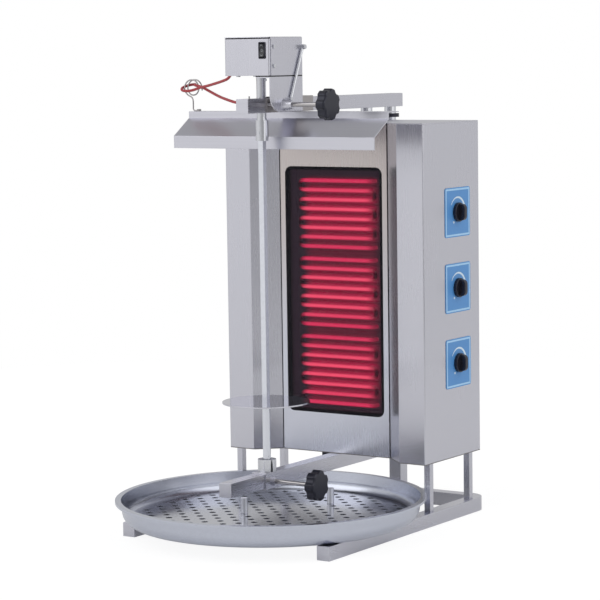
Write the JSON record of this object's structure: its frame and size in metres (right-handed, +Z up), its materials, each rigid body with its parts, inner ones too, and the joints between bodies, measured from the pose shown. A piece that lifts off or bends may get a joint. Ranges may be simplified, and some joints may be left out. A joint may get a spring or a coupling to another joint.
{
  "type": "electric doner kebab grill",
  "caption": "Upright electric grill: heater cabinet with a glass window, motor-driven vertical spit between two sliding supports, round drip tray with a perforated plate.",
  "frame": {"origin": "on the floor, in the middle of the width and depth", "axes": "+X to the grill's right, +Y to its rear, +Z up; the glass faces -Y"},
  "size_m": [0.556, 0.73, 0.883],
  "materials": {
    "stainless": "brushed stainless sheet and tube",
    "bright_steel": "bright plated or turned steel",
    "black_plastic": "satin black moulding",
    "pale_plastic": "pale moulding",
    "dark_glass": "smoked ceramic glass",
    "hot_element": "glowing tube",
    "fibre": "pressed fibre",
    "blue_label": "satin blue plate",
    "red_rubber": "matt red sleeve",
    "black_rubber": "matt",
    "dark_metal": "satin",
    "cast_aluminium": "as cast",
    "bronze": "plain"
  },
  "bodies": {
    "frame": {"base_frame": "stainless", "tube_caps": "stainless", "corner_posts": "stainless", "rear_leg": "stainless", "lower_arm": "stainless", "left_side_shell": "stainless", "right_side_shell": "stainless", "heater_panel": "stainless", "top_plate": "stainless", "bottom_plate": "stainless", "back_panel": "stainless", "rear_cover": "stainless", "heater_glass": "dark_glass", "glass_seal": "fibre", "insulation_block": "fibre", "heater_box": "stainless", "heating_element_top": "hot_element", "heating_element_middle": "hot_element", "heating_element_bottom": "hot_element", "label_plates": "blue_label", "regulator_bodies": "black_plastic", "terminal_block": "pale_plastic", "cable_gland": "black_plastic", "upper_arm": "stainless", "arm_posts": "stainless", "post_collars": "black_plastic", "hood": "stainless", "frame_screws": "bright_steel", "cable_hook": "bright_steel", "motor_lead": "red_rubber"},
    "carriage": {"motor_chassis": "stainless", "motor_cover": "stainless", "motor_pad": "black_rubber", "motor_bracket": "stainless", "saddle": "stainless", "stay_rod": "bright_steel", "cover_screws": "bright_steel", "gearbox": "cast_aluminium", "motor": "dark_metal", "switch_frame": "black_plastic"},
    "spit_drive": {"drive_shaft": "bright_steel", "spit_coupling": "bright_steel", "spit": "stainless"},
    "meat_disc": {"meat_disc": "stainless"},
    "lower_slider": {"lower_sleeve": "stainless", "spit_cup": "stainless", "thrust_bearing": "bronze"},
    "upper_knob": {"upper_clamp_stud": "bright_steel", "upper_star_knob": "black_plastic"},
    "lower_knob": {"lower_clamp_stud": "bright_steel", "lower_star_knob": "black_plastic"},
    "drip_tray": {"drip_tray": "stainless"},
    "perforated_plate": {"perforated_plate": "stainless"},
    "motor_switch": {"motor_switch": "black_plastic"},
    "control_knob_top": {"control_knob_top": "black_plastic", "regulator_spindle_top": "bright_steel"},
    "control_knob_middle": {"control_knob_middle": "black_plastic", "regulator_spindle_middle": "bright_steel"},
    "control_knob_bottom": {"control_knob_bottom": "black_plastic", "regulator_spindle_bottom": "bright_steel"}
  },
  "joints": [
    {"name": "carriage_slide", "type": "slide", "parent": "frame", "child": "carriage", "axis": [0, 1, 0], "range_m": [-0.04, 0.012], "deforming": ["motor_lead"]},
    {"name": "lower_slide", "type": "slide", "parent": "frame", "child": "lower_slider", "axis": [0, 1, 0], "range_m": [-0.04, 0.012]},
    {"name": "spit_spin", "type": "hinge", "parent": "carriage", "child": "spit_drive", "pos_m": [0, -0.0975, 0.4], "axis": [0, 0, 1], "continuous": true},
    {"name": "meat_disc_slide", "type": "slide", "parent": "spit_drive", "child": "meat_disc", "axis": [0, 0, 1], "range_m": [0, 0.25]},
    {"name": "upper_knob_turn", "type": "hinge", "parent": "carriage", "child": "upper_knob", "pos_m": [0.1, -0.0975, 0.7655], "axis": [1, 0, 0], "range_deg": [0, 360]},
    {"name": "lower_knob_turn", "type": "hinge", "parent": "lower_slider", "child": "lower_knob", "pos_m": [0.08, -0.0975, 0.098], "axis": [1, 0, 0], "range_deg": [0, 360]},
    {"name": "switch_rock", "type": "hinge", "parent": "carriage", "child": "motor_switch", "pos_m": [0.0326, -0.1365, 0.8596], "axis": [1, 0, 0], "range_deg": [-10, 10]},
    {"name": "tray_slide", "type": "slide", "parent": "frame", "child": "drip_tray", "axis": [0, -1, 0], "range_m": [0, 0.14]},
    {"name": "plate_lift", "type": "slide", "parent": "drip_tray", "child": "perforated_plate", "axis": [0, 0, 1], "range_m": [0, 0.012]},
    {"name": "control_knob_top_turn", "type": "hinge", "parent": "frame", "child": "control_knob_top", "pos_m": [0.22, 0.214, 0.5625], "axis": [-1, 0, 0], "range_deg": [0, 270]},
    {"name": "control_knob_middle_turn", "type": "hinge", "parent": "frame", "child": "control_knob_middle", "pos_m": [0.22, 0.214, 0.4245], "axis": [-1, 0, 0], "range_deg": [0, 270]},
    {"name": "control_knob_bottom_turn", "type": "hinge", "parent": "frame", "child": "control_knob_bottom", "pos_m": [0.22, 0.214, 0.2865], "axis": [-1, 0, 0], "range_deg": [0, 270]}
  ],
  "couplings": [
    {"joint": "lower_slide", "follows": "carriage_slide", "ratio": 1}
  ]
}
